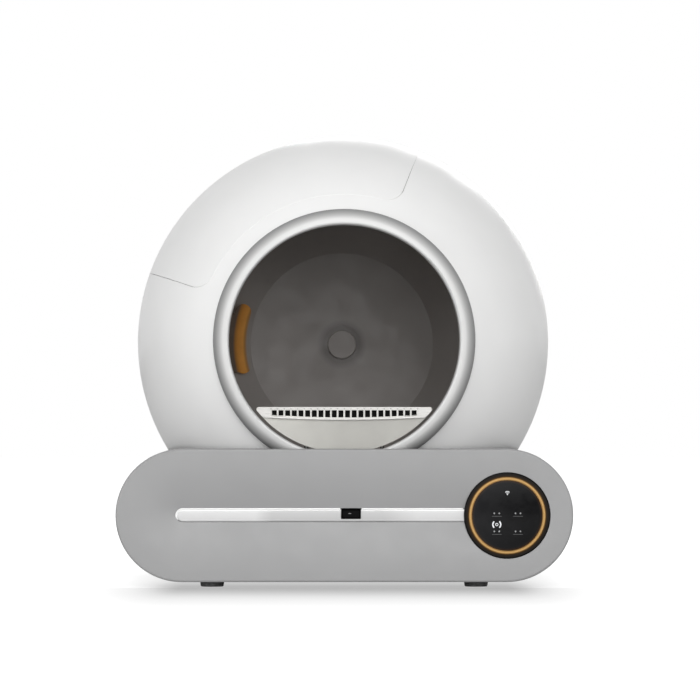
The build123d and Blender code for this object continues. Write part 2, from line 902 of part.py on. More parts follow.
def base_upper_shell():
    """Upper half of the base with the cradle that the drum turns in."""
    start = shell_front()
    end = shell_back()
    full = base_pill(0, start, end)
    upper = Pos(0, 0, base_middle + base_height / 2) * Box(base_width * 2, base_depth * 2, base_height)
    skin = (full - base_pill(base_skin, start - overrun, end + overrun)) & upper
    shell = skin + (cradle_skin() & full) + (screw_bosses(1) & full) + (shell_bosses(1) & full)
    shell -= clearance_space()
    for row, side, track, neck, angle in roller_places():
        shell -= module_hole(roller_place(track, neck, angle))
    well_radius = pinion_pitch_radius + 2 * gear_module
    shell -= pinion_place() * disc(well_radius, rear_neck_end - gear_gap, trough_back)
    shell -= pinion_place() * disc(pinion_shaft_radius + seat_gap, gear_back, gearbox_front())
    return shell


def base_lower_shell():
    """Lower half of the base: a tray with posts for the board and the load cells."""
    start = shell_front()
    end = shell_back()
    lower = Pos(0, 0, base_middle - base_height / 2) * Box(base_width * 2, base_depth * 2, base_height)
    full = base_pill(0, start, end)
    shell = (full - base_pill(base_skin, start - overrun, end + overrun)) & lower
    shell += (screw_bosses(-1) & full) + (shell_bosses(-1) & full)
    shell -= shell_wells()
    floor = foot_height + base_skin
    for x, y in pcb_posts():
        shell += Pos(x, y, floor + pcb_lift / 2) * Cylinder(post_radius, pcb_lift)
    return shell


def pcb_posts():
    """Places of the main board's posts."""
    across = pcb_length / 2 - 2 * post_radius
    along = pcb_width / 2 - 2 * post_radius
    return [(pcb_x + sx * across, pcb_y + sy * along) for sx in (-1, 1) for sy in (-1, 1)]


def main_board():
    """Control board on its posts, with a few parts."""
    low = foot_height + base_skin + pcb_lift
    board = Pos(pcb_x, pcb_y, low + pcb_thick / 2) * Box(pcb_length, pcb_width, pcb_thick)
    top = low + pcb_thick
    for share in chip_shares:
        spot = Pos(pcb_x + share * pcb_length, pcb_y, top + chip_height / 2)
        board += spot * Box(chip_size, chip_size, chip_height)
    return board


def load_cells():
    """Four load cells on the tray, one above each foot."""
    low = foot_height + base_skin
    block = Box(cell_length, cell_width, cell_height)
    block -= Box(cell_window_length, cell_width + overrun, cell_window_height)
    spots = [(sx * foot_x, sy * foot_y) for sx in (-1, 1) for sy in (-1, 1)]
    cells = [Pos(x, y, low + cell_height / 2) * block for x, y in spots]
    return Compound(children=cells)


def rubber_feet():
    """Four tapered feet."""
    foot = Pos(0, 0, foot_height / 2) * Cone(foot_bottom_radius, foot_top_radius, foot_height)
    foot = fillet(foot.edges().group_by(Axis.Z)[0], foot_fillet)
    feet = [Pos(sx * foot_x, sy * foot_y, 0) * foot for sx in (-1, 1) for sy in (-1, 1)]
    return Compound(children=feet)


def dish_cut():
    """The shallow valley along the strip, with round ends."""
    flank = dish_reach**2 / (2 * dish_depth) + dish_depth / 2
    sag = flank - math.sqrt(flank**2 - dish_reach**2 / 4)
    points = [(0, -overrun), (dish_reach, -overrun), (dish_reach, 0)]
    arc = ThreePointArc((dish_reach, 0), (dish_reach / 2, sag), (0, dish_depth))
    edges = [Line(points[0], points[1]), Line(points[1], points[2]), arc, Line((0, dish_depth), points[0])]
    face = make_face(edges)
    left = dish_left()
    end_cap = revolve(face, Axis.Y)
    run = control_x - left
    half = extrude(face, amount=run)
    upper = Pos(control_x, 0, 0) * Rot(0, -90, 0) * half
    lower = Pos(left, 0, 0) * Rot(0, 90, 0) * half
    dish = upper + lower + Pos(left, 0, 0) * end_cap + Pos(control_x, 0, 0) * end_cap
    return Pos(0, base_front, strip_z) * dish


def dish_left():
    """Middle of the valley's left end."""
    return strip_left + strip_height / 2


def strip_outline(growth):
    """The strip as seen from the front, running under the touch panel's rim."""
    right = control_x - control_radius / 2
    length = right - strip_left + 2 * growth
    middle = (right + strip_left) / 2
    return Pos(middle, strip_z) * SlotOverall(length, strip_height + 2 * growth)


def control_circle(radius):
    """A circle about the touch panel's middle."""
    return Pos(control_x, base_middle) * Circle(radius)


def front_fascia():
    """Front face of the base: dished, with the strip's slot and the panel's hole."""
    rear = base_front + fascia_depth
    face = base_pill(0, base_front, rear)
    face = fillet(face.edges().group_by(Axis.Y)[0], fascia_edge)
    face -= base_pill(fascia_edge, base_front + fascia_skin, rear + overrun)
    face -= dish_cut()
    skin_back = base_front + fascia_skin + overrun
    face -= prism(strip_outline(0), base_front - overrun, skin_back)
    face -= prism(control_circle(control_radius + control_gap), base_front - overrun, skin_back)
    return face


def strip_front():
    """Depth of the strip's front face."""
    return base_front + dish_depth - strip_proud


def light_strip():
    """White gloss strip with a flange behind the fascia's skin."""
    skin_back = base_front + fascia_skin
    bar = prism(strip_outline(-strip_gap), strip_front(), skin_back)
    bar = fillet(bar.edges().group_by(Axis.Y)[0], strip_fillet)
    bar += prism(strip_outline(strip_flange), skin_back, skin_back + strip_flange_thick)
    bar -= prism(control_circle(control_radius + control_gap), base_front, skin_back)
    flange_hole = control_circle(control_radius + housing_flange + control_gap)
    bar -= prism(flange_hole, skin_back, base_front + fascia_depth)
    return bar - sensor_window()


def sensor_window():
    """Black window let into the strip, with a rim round its lens."""
    place = Pos(window_middle, strip_z + window_lift)
    start = strip_front() - window_proud
    outline = place * RectangleRounded(window_width, window_height, window_corner)
    block = prism(outline, start, start + window_depth)
    lens_width = window_width - 2 * window_rim
    lens = place * RectangleRounded(lens_width, window_height - 2 * window_rim, window_corner)
    return block - prism(lens, start - overrun, start + window_recess)


def control_back():
    """Depth of the face that the panel's pieces stand on."""
    return base_front + fascia_skin


def panel_bezel():
    """Black rim of the touch panel."""
    sketch = control_circle(control_radius) - control_circle(light_outer_radius)
    rim = prism(sketch, base_front + control_recess, control_back())
    outer = rim.edges().group_by(Axis.Y)[0].sort_by(SortBy.RADIUS)[-1]
    return fillet(outer, bezel_fillet)


def panel_light_ring():
    """Gold light ring inside the rim."""
    sketch = control_circle(light_outer_radius) - control_circle(light_inner_radius)
    return prism(sketch, base_front + control_recess + light_recess, control_back())


def panel_glass():
    """Black glass inside the light ring."""
    start = base_front + control_recess + glass_recess
    return prism(control_circle(light_inner_radius - glass_gap), start, start + glass_thick)


def touch_board():
    """Touch sensing board behind the glass."""
    start = base_front + control_recess + glass_recess + glass_thick
    return prism(control_circle(light_inner_radius - seat_gap), start, start + board_thick)


def panel_housing():
    """Holder behind the fascia that carries the panel's pieces."""
    board_back = base_front + control_recess + glass_recess + glass_thick + board_thick
    outline = control_circle(control_radius + housing_flange)
    flange = prism(outline, control_back(), control_back() + housing_thick)
    return flange + prism(control_circle(light_inner_radius - seat_gap), board_back, control_back())


def rear_cover():
    """Back of the base, with air slots and the power inlet's hole."""
    start = shell_back()
    cover = base_pill(0, start, base_back)
    for side in (-1, 1):
        for i in range(vent_count):
            x = side * vent_x + (i - (vent_count - 1) / 2) * vent_pitch
            slot = Pos(x, base_middle) * Rot(0, 0, 90) * SlotOverall(vent_height, vent_width)
            cover -= prism(slot, start - overrun, base_back + overrun)
    cover -= inlet_block()
    for x, z in cover_screw_spots():
        cover -= screw(x, z, base_back - screw_head_height)
    return cover


def cover_screw_spots():
    """Places of the rear cover's screws."""
    lift = base_height / 2 - base_skin - screw_boss_radius
    return [(x, base_middle + sz * lift) for x in (-cover_screw_x, 0, cover_screw_x) for sz in (-1, 1)]


def screw_bosses(side):
    """Bosses inside a shell for the rear cover's screws: side 1 is the upper shell, -1 the lower one."""
    end = shell_back()
    reach = screw_boss_radius + base_skin / 2
    outline = Circle(screw_boss_radius) + Pos(0, side * reach / 2) * Rectangle(2 * screw_boss_radius, reach)
    bosses = Part()
    for x, z in cover_screw_spots():
        if (z - base_middle) * side > 0:
            boss = prism(Pos(x, z) * outline, end - screw_boss_length, end)
            bosses += boss - screw(x, z, base_back - screw_head_height)
    return bosses


def shell_screw_spots():
    """Places of the screws that join the two shells, beside the load cells."""
    return [(sx * shell_screw_x, sy * foot_y) for sx in (-1, 1) for sy in (-1, 1)]


def shell_screw(x, y):
    """A screw driven up from below, whose head stands just under the plane where the shells meet."""
    return Pos(x, y, shell_screw_z) * Rot(-90, 0, 0) * screw(0, 0, 0)


def shell_bosses(side):
    """Bosses for the screws that join the shells: side 1 is the upper shell, -1 the lower one."""
    bosses = Part()
    for x, y in shell_screw_spots():
        boss = Pos(x, y, base_middle + side * base_height / 4) * Cylinder(shell_boss_radius, base_height / 2)
        bosses += boss - shell_screw(x, y)
    return bosses


def shell_wells():
    """Wells under the tray through which the shells' screws go in."""
    reach = shell_screw_z - foot_height + overrun
    well = Cylinder(screw_head_radius + seat_gap, reach)
    wells = Part()
    for x, y in shell_screw_spots():
        wells += Pos(x, y, shell_screw_z - reach / 2) * well
    return wells


def inlet_block():
    """The inlet's block at the back of the base."""
    outline = RectangleRounded(inlet_width, inlet_height, inlet_corner)
    place = Pos(inlet_x, base_middle - inlet_drop)
    return prism(place * outline, base_back - inlet_depth, base_back)


def power_inlet():
    """Round power socket with its pin."""
    place = Pos(inlet_x, base_middle - inlet_drop)
    floor = base_back - inlet_depth + inlet_floor
    socket = inlet_block() - prism(place * Circle(inlet_bore), floor, base_back + overrun)
    return socket + prism(place * Circle(inlet_pin), floor - inlet_floor, base_back - inlet_floor)


def base_screws():
    """The rear cover's screws and those that join the two shells."""
    depth = base_back - screw_head_height
    screws = [screw(x, z, depth) for x, z in cover_screw_spots()]
    return Compound(children=screws + [shell_screw(x, y) for x, y in shell_screw_spots()])


def make_parts():
    """Every piece of the litter box by its name."""
    parts = {
        "drum_front_shell": drum_front_shell(),
        "drum_rear_shell": drum_rear_shell(),
        "drum_liner": drum_liner(),
        "entry_ring": entry_ring(),
        "hub_cap": hub_cap(),
        "drum_screen": drum_screen(),
        "cassette_bay": cassette_bay(),
        "ring_gear": ring_gear(),
        "drum_rear_cap": drum_rear_cap(),
        "drum_screws": drum_screws(),
        "cassette_panel": cassette_panel(),
        "cassette_bin": cassette_bin(),
        "flap_pin": flap_pin(),
        "bin_flap": bin_flap(),
        "latch_button": latch_button(),
        "litter_fence": litter_fence(),
        "fence_grille": fence_grille(),
        "drive_pinion": drive_pinion(),
        "gearbox_housing": gearbox_housing(),
        "drive_motor": drive_motor(),
        "base_upper_shell": base_upper_shell(),
        "base_lower_shell": base_lower_shell(),
        "front_fascia": front_fascia(),
        "light_strip": light_strip(),
        "sensor_window": sensor_window(),
        "panel_bezel": panel_bezel(),
        "panel_light_ring": panel_light_ring(),
        "panel_glass": panel_glass(),
        "touch_board": touch_board(),
        "panel_housing": panel_housing(),
        "main_board": main_board(),
        "load_cells": load_cells(),
        "rubber_feet": rubber_feet(),
        "rear_cover": rear_cover(),
        "power_inlet": power_inlet(),
        "base_screws": base_screws(),
    }
    axles = []
    for row, side, track, neck, angle in roller_places():
        place = roller_place(track, neck, angle)
        parts[f"{row}_{side}_roller"] = roller_solid(place)
        parts[f"{row}_{side}_roller_mount"] = roller_module(place)
        axles.append(place * disc(roller_axle_radius, -module_half(), module_half()))
    parts["roller_axles"] = Compound(children=axles)
    return parts


os.makedirs("parts", exist_ok=True)
for name, part in make_parts().items():
    export_step(part, f"parts/{name}.step")
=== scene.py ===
import bpy
import json
import math
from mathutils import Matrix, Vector


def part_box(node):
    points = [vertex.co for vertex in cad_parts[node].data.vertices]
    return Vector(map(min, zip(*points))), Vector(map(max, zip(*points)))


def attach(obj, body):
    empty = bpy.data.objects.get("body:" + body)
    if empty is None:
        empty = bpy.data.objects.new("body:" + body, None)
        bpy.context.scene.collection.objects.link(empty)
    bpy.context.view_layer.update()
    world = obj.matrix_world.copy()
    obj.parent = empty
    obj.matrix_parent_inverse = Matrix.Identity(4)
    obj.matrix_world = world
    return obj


# A globe-shaped litter box with a turning drum. All lengths are in metres.
# X runs to the right, Y runs to the back, Z runs up, and the floor is at zero.
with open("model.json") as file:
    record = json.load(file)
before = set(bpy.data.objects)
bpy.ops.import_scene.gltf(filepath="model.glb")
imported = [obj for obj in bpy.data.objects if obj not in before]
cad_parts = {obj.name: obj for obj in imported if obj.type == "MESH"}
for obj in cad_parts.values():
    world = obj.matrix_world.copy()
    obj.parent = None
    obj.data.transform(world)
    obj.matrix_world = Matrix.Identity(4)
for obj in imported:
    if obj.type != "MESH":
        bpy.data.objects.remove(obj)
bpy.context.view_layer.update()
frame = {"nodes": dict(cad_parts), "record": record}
nodes = frame["nodes"]
mm = 0.001
print("frame loaded:", len(nodes), "pieces")

ringLow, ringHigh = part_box("entry_ring")
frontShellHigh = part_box("drum_front_shell")[1]
drumCentre = Vector(((ringLow.x + ringHigh.x) / 2, frontShellHigh.y, (ringLow.z + ringHigh.z) / 2))
fasciaLow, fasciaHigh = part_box("front_fascia")
glassLow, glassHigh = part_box("panel_glass")
glassCentre = Vector(((glassLow.x + glassHigh.x) / 2, glassLow.y, (glassLow.z + glassHigh.z) / 2))

noiseSpan = (0.3, 0.7)  # nearly all values of the noise lie between these
mixFirst, mixSecond, mixResult = 6, 7, 2  # the colour sockets of a Mix node, by number


# Shared steps for every finish
def opened(finish):  # the nodes of a finish and its main shader
    return finish.node_tree, finish.node_tree.nodes["Principled BSDF"]


def startFinish(name):
    finish = bpy.data.materials.new(name)
    finish.use_nodes = True
    return finish, *opened(finish)


def addNode(tree, kind, **values):
    node = tree.nodes.new(kind)
    for key, value in values.items():
        if key in node.inputs:
            node.inputs[key].default_value = value
        else:
            setattr(node, key, value)
    return node


# Coordinates that ride with the piece, in metres
def piecePlace(tree, centre=(0, 0, 0), stretch=(1, 1, 1)):
    place = addNode(tree, "ShaderNodeTexCoord")
    shift = addNode(tree, "ShaderNodeMapping", Scale=stretch)
    shift.inputs["Location"].default_value = [-c * s for c, s in zip(centre, stretch)]
    tree.links.new(place.outputs["Object"], shift.inputs["Vector"])
    return shift.outputs["Vector"]


# Soft noise whose blotches are about one size across
def speckle(tree, size, detail=2.0, stretch=(1, 1, 1)):
    noise = addNode(tree, "ShaderNodeTexNoise", Scale=1 / size, Detail=detail, Roughness=0.6)
    tree.links.new(piecePlace(tree, stretch=stretch), noise.inputs["Vector"])
    return noise.outputs["Fac"]


def tint(tree, shader, value, dark, light):  # the colour goes from a dark to a light shade with a noise
    ramp = addNode(tree, "ShaderNodeValToRGB")
    for element, place, colour in zip(ramp.color_ramp.elements, noiseSpan, (dark, light)):
        element.position = place
        element.color = (*colour, 1)
    tree.links.new(value, ramp.inputs["Fac"])
    tree.links.new(ramp.outputs["Color"], shader.inputs["Base Color"])


def dull(tree, shader, value, look):  # the gloss varies with a noise, by the finish's wear
    reach = addNode(tree, "ShaderNodeMapRange")
    reach.inputs["From Min"].default_value, reach.inputs["From Max"].default_value = noiseSpan
    reach.inputs["To Min"].default_value = look["satin"] - look["wear"]
    reach.inputs["To Max"].default_value = look["satin"] + look["wear"]
    tree.links.new(value, reach.inputs["Value"])
    tree.links.new(reach.outputs["Result"], shader.inputs["Roughness"])


def raiseGrain(tree, shader, value, depth, under=None):  # fine relief, laid over another where there is one
    bump = addNode(tree, "ShaderNodeBump", Strength=1.0, Distance=depth)
    tree.links.new(value, bump.inputs["Height"])
    if under:
        tree.links.new(under.outputs["Normal"], bump.inputs["Normal"])
    tree.links.new(bump.outputs["Normal"], shader.inputs["Normal"])
    return bump


def reachFromAxis(tree, centre):  # distance from the level line that runs to the back through a point
    apart = addNode(tree, "ShaderNodeSeparateXYZ")
    flat = addNode(tree, "ShaderNodeCombineXYZ")
    reach = addNode(tree, "ShaderNodeVectorMath", operation="LENGTH")
    tree.links.new(piecePlace(tree, centre), apart.inputs["Vector"])
    tree.links.new(apart.outputs["X"], flat.inputs["X"])
    tree.links.new(apart.outputs["Z"], flat.inputs["Z"])
    tree.links.new(flat.outputs["Vector"], reach.inputs[0])
    return reach.outputs["Value"]


def bands(tree, reach, stops):  # colours that blend from one distance to the next
    share = addNode(tree, "ShaderNodeMapRange")
    share.inputs["From Min"].default_value = first = stops[0][0]
    share.inputs["From Max"].default_value = last = stops[-1][0]
    tree.links.new(reach, share.inputs["Value"])
    ramp = addNode(tree, "ShaderNodeValToRGB")
    while len(ramp.color_ramp.elements) < len(stops):
        ramp.color_ramp.elements.new(1.0)
    for element, (distance, colour) in zip(ramp.color_ramp.elements, stops):
        element.position = (distance - first) / (last - first)
        element.color = (*colour, 1)
    tree.links.new(share.outputs["Result"], ramp.inputs["Fac"])
    return ramp.outputs["Color"]


def shadeBy(tree, shader, factor):  # multiplies the finish's colour by another
    colour = shader.inputs["Base Color"].links[0].from_socket
    both = addNode(tree, "ShaderNodeMix", data_type="RGBA", blend_type="MULTIPLY")
    both.inputs["Factor"].default_value = 1.0
    tree.links.new(colour, both.inputs[mixFirst])
    tree.links.new(factor, both.inputs[mixSecond])
    tree.links.new(both.outputs[mixResult], shader.inputs["Base Color"])


def placeAlong(tree, way):  # how far along X, Y or Z a point of the piece lies
    apart = addNode(tree, "ShaderNodeSeparateXYZ")
    tree.links.new(piecePlace(tree), apart.inputs["Vector"])
    return apart.outputs[way]


def greys(tones):  # one number for each place becomes a grey
    return [(place, [tone] * 3) for place, tone in tones]


def shadeAlong(tree, shader, way, tones):  # the finish's tone changes from one place to the next
    shadeBy(tree, shader, bands(tree, placeAlong(tree, way), greys(tones)))


def shades(colour, spread):  # a darker and a lighter shade of a colour
    return [c * (1 - spread) for c in colour], [min(1, c * (1 + spread)) for c in colour]


def dress(slotName, finish):  # gives a finish to every piece that the record puts in a slot
    for part in frame["record"]["subparts"]:
        if part["material_slot"] == slotName:
            mesh = nodes[part["node"]].data
            mesh.materials.clear()
            mesh.materials.append(finish)


def mouldedPlastic(name, look):
    finish, tree, shader = startFinish(name)
    tint(tree, shader, speckle(tree, look["cloud"]), *shades(look["colour"], look["spread"]))
    dull(tree, shader, speckle(tree, look["cloud"] / 3), look)
    wave = raiseGrain(tree, shader, speckle(tree, look["peel"]), look["peelDepth"])
    raiseGrain(tree, shader, speckle(tree, look["grain"], 3), look["grainDepth"], wave)
    shader.inputs["Coat Weight"].default_value = look.get("coat", 0)
    shader.inputs["Coat Roughness"].default_value = look.get("coatRough", 0.1)
    shader.inputs["Specular IOR Level"].default_value = look.get("shine", 0.5)
    return finish


def turnedMetal(name, look, centre):  # fine rings round a point on the front
    finish, tree, shader = startFinish(name)
    rings = addNode(tree, "ShaderNodeTexWave", wave_type="RINGS", rings_direction="Y",
                    Scale=1 / look["line"], Distortion=look["waver"])
    rings.inputs["Detail Scale"].default_value = look["waverSize"]
    tree.links.new(piecePlace(tree, centre), rings.inputs["Vector"])
    tint(tree, shader, speckle(tree, look["cloud"]), *shades(look["colour"], look["spread"]))
    dull(tree, shader, rings.outputs["Fac"], look)
    lines = raiseGrain(tree, shader, rings.outputs["Fac"], look["lineDepth"])
    raiseGrain(tree, shader, speckle(tree, look["grain"], 3), look["grainDepth"], lines)
    shader.inputs["Metallic"].default_value = look["metal"]
    return finish


def drawnMetal(name, look):  # fine straight lines along the piece
    finish, tree, shader = startFinish(name)
    lines = speckle(tree, look["line"], 3, look["along"])
    tint(tree, shader, speckle(tree, look["cloud"]), *shades(look["colour"], look["spread"]))
    dull(tree, shader, lines, look)
    raiseGrain(tree, shader, lines, look["lineDepth"])
    shader.inputs["Metallic"].default_value = look["metal"]
    return finish


def linkNew(name, data):  # an object of its own in the scene
    thing = bpy.data.objects.new(name, data)
    bpy.context.scene.collection.objects.link(thing)
    return thing


def wireMesh(name, lines, look, finish):  # round wires along lines of points, thinner at their tips
    curve = bpy.data.curves.new(name, "CURVE")
    curve.dimensions = "3D"
    curve.bevel_depth = look["radius"]
    curve.bevel_resolution = look["roundness"]
    curve.use_fill_caps = True
    for places in lines:
        line = curve.splines.new("POLY")
        last = len(places) - 1
        line.points.add(last)
        for index, (point, place) in enumerate(zip(line.points, places)):
            point.co = (*place, 1)
            inward = min(index, last - index) if look.get("bothTips", True) else index
            point.radius = min(1, look["tip"] + inward / look["taper"])
    drawn = bpy.data.objects.new(name + "Line", curve)
    mesh = bpy.data.meshes.new_from_object(drawn)
    bpy.data.objects.remove(drawn)
    mesh.materials.clear()
    mesh.materials.append(finish)
    return mesh


def roundBar(name, line, look, finish, body):  # a smooth bar along a line of points
    mesh = wireMesh(name, [line], look, finish)
    mesh.shade_smooth()
    bar = linkNew(name, mesh)
    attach(bar, body)


def domes(name, spots, look, finish, body):  # low rounded domes that face the front
    mesh = bpy.data.meshes.new(name)
    rows, sides = look["rows"], look["sides"]
    points, faces = [], []
    for x, y, z in spots:
        first = len(points)
        for row in range(rows):
            lean = math.pi / 2 * row / rows
            reach, lift = math.cos(lean), math.sin(lean)
            for side in range(sides):
                turn = math.tau * side / sides
                points.append((x + look["wide"] * reach * math.cos(turn), y - look["proud"] * lift,
                               z + look["high"] * reach * math.sin(turn)))
        points.append((x, y - look["proud"], z))
        for row in range(rows - 1):
            low, high = first + row * sides, first + (row + 1) * sides
            faces += [(low + s, low + (s + 1) % sides, high + (s + 1) % sides, high + s)
                      for s in range(sides)]
        top = first + (rows - 1) * sides
        faces += [(top + s, top + (s + 1) % sides, first + rows * sides) for s in range(sides)]
        faces.append([first + s for s in reversed(range(sides))])
    mesh.from_pydata(points, [], faces)
    mesh.materials.append(finish)
    mesh.shade_smooth()
    piece = linkNew(name, mesh)
    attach(piece, body)


# Drum
drumWhite = dict(colour=(0.84, 0.84, 0.835), spread=0.015, cloud=90 * mm, satin=0.36, wear=0.05, shine=0.35,
                 peel=2.5 * mm, peelDepth=0.004 * mm, grain=0.5 * mm, grainDepth=0.002 * mm,
                 coat=0.08, coatRough=0.2)
dress("drum_white", mouldedPlastic("drumWhite", drumWhite))

linerDark = dict(colour=(0.36, 0.334, 0.318), spread=0.03, cloud=60 * mm, satin=0.52, wear=0.08,
                 peel=3 * mm, peelDepth=0.01 * mm, grain=0.7 * mm, grainDepth=0.02 * mm)
# Painted shade round the hub: tones for the cap, the groove and the wall beyond
hubShade = dict(cap=18.2 * mm, groove=1.02, rim=23 * mm, end=32 * mm, capTone=1.0, grooveShadeTone=0.62, wallTone=0.9)


def darkLiner(look, hub):  # painted shade: the wall's colour darkens softly round the hub and in its groove, where shade falls
    finish = mouldedPlastic("linerDark", look)
    tree, shader = opened(finish)
    tones = [(0, hub["capTone"]), (hub["cap"], hub["capTone"]), (hub["cap"] * hub["groove"], hub["grooveShadeTone"]),
             (hub["rim"], hub["grooveShadeTone"]), (hub["end"], hub["wallTone"])]
    shadeBy(tree, shader, bands(tree, reachFromAxis(tree, drumCentre), greys(tones)))
    return finish


dress("liner_dark", darkLiner(linerDark, hubShade))

# Its glow is a painted glow: the screen is no lamp
screenOrange = dict(colour=(0.94, 0.94, 0.94), spread=0.06, cloud=12 * mm, satin=0.42, wear=0.06,
                    peel=2 * mm, peelDepth=0.01 * mm, grain=0.6 * mm, grainDepth=0.01 * mm, glow=0.07)
# By distance from the drum's axis: a grey inner rim, then orange that darkens outwards with painted shade into a
# painted shadow beside the ring
screenTonesAndShade = (
    (120.5 * mm, (0.3, 0.27, 0.24)),
    (123 * mm, (0.36, 0.17, 0.05)),
    (126 * mm, (0.66, 0.3, 0.062)),
    (132 * mm, (0.58, 0.245, 0.042)),
    (135.5 * mm, (0.36, 0.155, 0.033)),
    (138 * mm, (0.12, 0.09, 0.07)),
)


def orangeScreen(look):  # painted shade and glow: orange between a grey inner rim and a painted shadow at the outer rim, darkening outwards, with a faint painted glow
    finish = mouldedPlastic("screenOrange", look)
    tree, shader = opened(finish)
    tones = bands(tree, reachFromAxis(tree, drumCentre), screenTonesAndShade)
    shadeBy(tree, shader, tones)
    tree.links.new(tones, shader.inputs["Emission Color"])
    shader.inputs["Emission Strength"].default_value = look["glow"]
    return finish


dress("screen_orange", orangeScreen(screenOrange))

ringSilver = dict(colour=(0.56, 0.56, 0.555), spread=0.02, cloud=30 * mm, satin=0.55, wear=0.05, metal=0.35,
                  line=0.5 * mm, lineDepth=0.003 * mm, waver=0.6, waverSize=4.0,
                  grain=0.4 * mm, grainDepth=0.004 * mm)
# Painted shade on the ring's outer edge
ringEdgeShade = dict(lightUntil=0.925, darkFrom=0.997, dark=0.24)


def silverRing(look, edge):  # painted shade: the silver's colour darkens towards the ring's outer edge, which turns sideways away from the light
    finish = turnedMetal("ringSilver", look, drumCentre)
    tree, shader = opened(finish)
    outerRadius = (ringHigh.x - ringLow.x) / 2
    dark = [edge["dark"]] * 3
    stops = [(outerRadius * edge["lightUntil"], look["colour"]), (outerRadius * edge["darkFrom"], dark)]
    tree.links.new(bands(tree, reachFromAxis(tree, drumCentre), stops), shader.inputs["Base Color"])
    return finish


dress("ring_silver", silverRing(ringSilver, ringEdgeShade))
print("drum dressed")

# Litter fence
fenceMetal = dict(colour=(0.335, 0.33, 0.308), spread=0.03, cloud=25 * mm, satin=0.42, wear=0.06, metal=0.4,
                  line=0.6 * mm, along=(0.04, 1, 1), lineDepth=0.006 * mm,
                  # Painted light and shade along X: lighter on the left, darker to the right
                  across=((-95 * mm, 1.18), (0, 0.92), (95 * mm, 0.9)),
                  visorProud=3.5 * mm, visorFrom=1 * mm, visorTo=0.2 * mm, visorTone=1.7,
                  # The pegs get a painted shadow
                  peg=133.8 * mm, pegBlend=0.4 * mm, pegShadeTone=0.12)


# Painted shade: the face darkens to the right as if lit from the left, and the pegs are painted dark as the shadow
# they lie in; the slotted band is lighter
def fenceFinish(look):
    finish = drawnMetal("fenceMetal", look)
    tree, shader = opened(finish)
    shadeAlong(tree, shader, "X", look["across"])
    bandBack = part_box("litter_fence")[0].y + look["visorProud"]
    visor = ((bandBack - look["visorFrom"], look["visorTone"]), (bandBack - look["visorTo"], 1.0))
    shadeAlong(tree, shader, "Y", visor)
    pegs = [(look["peg"], 1.0), (look["peg"] + look["pegBlend"], look["pegShadeTone"])]
    shadeBy(tree, shader, bands(tree, reachFromAxis(tree, drumCentre), greys(pegs)))
    return finish


dress("fence_metal", fenceFinish(fenceMetal))

slotBlack = dict(colour=(0.006, 0.006, 0.006), spread=0.2, cloud=10 * mm, satin=0.6, wear=0.1, shine=0.05,
                 peel=1.5 * mm, peelDepth=0.01 * mm, grain=0.4 * mm, grainDepth=0.01 * mm)
dress("slot_black", mouldedPlastic("slotBlack", slotBlack))

fenceTrim = dict(colour=(0.45, 0.442, 0.425), spread=0.02, cloud=10 * mm, satin=0.3, wear=0.05, metal=0.3,
                 line=0.5 * mm, along=(0.04, 1, 1), lineDepth=0.002 * mm)
# Lighter and darker copies of the trim: a painted highlight on the lip and painted shade in the dimples
lipHighlightTrim = dict(fenceTrim, colour=(0.6, 0.59, 0.575), satin=0.25)
dimpleShadeTrim = dict(fenceTrim, colour=(0.2, 0.195, 0.185))
fenceBand = dict(count=22, apart=7.9 * mm, slot=6.1 * mm,
                 slotTop=3.9 * mm, slotEnd=9.6 * mm, slotMiddle=12.6 * mm,
                 lowEnd=12.2 * mm, lowMiddle=15.6 * mm,
                 edge=0.6 * mm, corner=3.0 * mm, reach=133.3 * mm, proud=0.4 * mm,
                 thick=3.8 * mm, bevel=0.35 * mm, bevelSteps=2,
                 endShares=(1.0, 0.992, 0.975, 0.95, 0.92, 0.89))
lipBar = dict(radius=0.9 * mm, roundness=3, tip=0.3, taper=4, steps=40, rise=1.0 * mm, share=0.9)
bandDimples = dict(drop=2.2 * mm, wide=0.9 * mm, high=0.6 * mm, proud=0.15 * mm, rows=3, sides=16)


def bandLow(share, end, middle):  # a drop that bows from its ends to its middle
    return middle - (middle - end) * share * share


# The light band with its row of slots, cut to the fence's round edge
def slottedBand(look, low, high, finish):
    middle, half = (low.x + high.x) / 2, (high.x - low.x) / 2 - look["edge"]
    top, thirds = drumCentre.z - high.z, (0, 1 / 3, 2 / 3, 1)
    rows = len(thirds)
    columns = []
    for share in look["endShares"]:
        x = half * share
        past = max(0, x - (half - look["corner"]))
        upper = look["corner"] - math.sqrt(max(0, look["corner"] ** 2 - past ** 2))
        bow = bandLow(share, look["lowEnd"], look["lowMiddle"])
        lower = min(math.sqrt(look["reach"] ** 2 - x ** 2) - top, bow)
        upper = min(upper, lower - look["bevel"])
        columns.append((x, [lower + (upper - lower) * third for third in thirds], False))
    left = [(-x, levels, slot) for x, levels, slot in columns]
    for index in range(look["count"]):
        x = (index - (look["count"] - 1) / 2) * look["apart"]
        for side, slot in ((-1, True), (1, False)):
            place = x + side * look["slot"] / 2
            share = place / half
            levels = [bandLow(share, look["lowEnd"], look["lowMiddle"]),
                      bandLow(share, look["slotEnd"], look["slotMiddle"]), look["slotTop"], 0]
            left.append((place, levels, slot))
    columns = left + columns[::-1]
    points, faces = [], []
    for index, (x, levels, slot) in enumerate(columns):
        points += [(middle + x, low.y - look["proud"], high.z - level) for level in levels]
        if index + 1 < len(columns):
            firsts = [rows * index + row for row in range(rows - 1) if not (slot and row == 1)]  # row 1 is open
            faces += [(first, first + rows, first + rows + 1, first + 1) for first in firsts]
    mesh = bpy.data.meshes.new("fence_band")
    mesh.from_pydata(points, [], faces)
    mesh.materials.append(finish)
    band = linkNew("fence_band", mesh)
    thick = band.modifiers.new("thick", "SOLIDIFY")
    thick.thickness, thick.offset = look["thick"], -1
    bevel = band.modifiers.new("bevel", "BEVEL")
    bevel.width, bevel.segments, bevel.limit_method = look["bevel"], look["bevelSteps"], "ANGLE"
    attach(band, "fence")


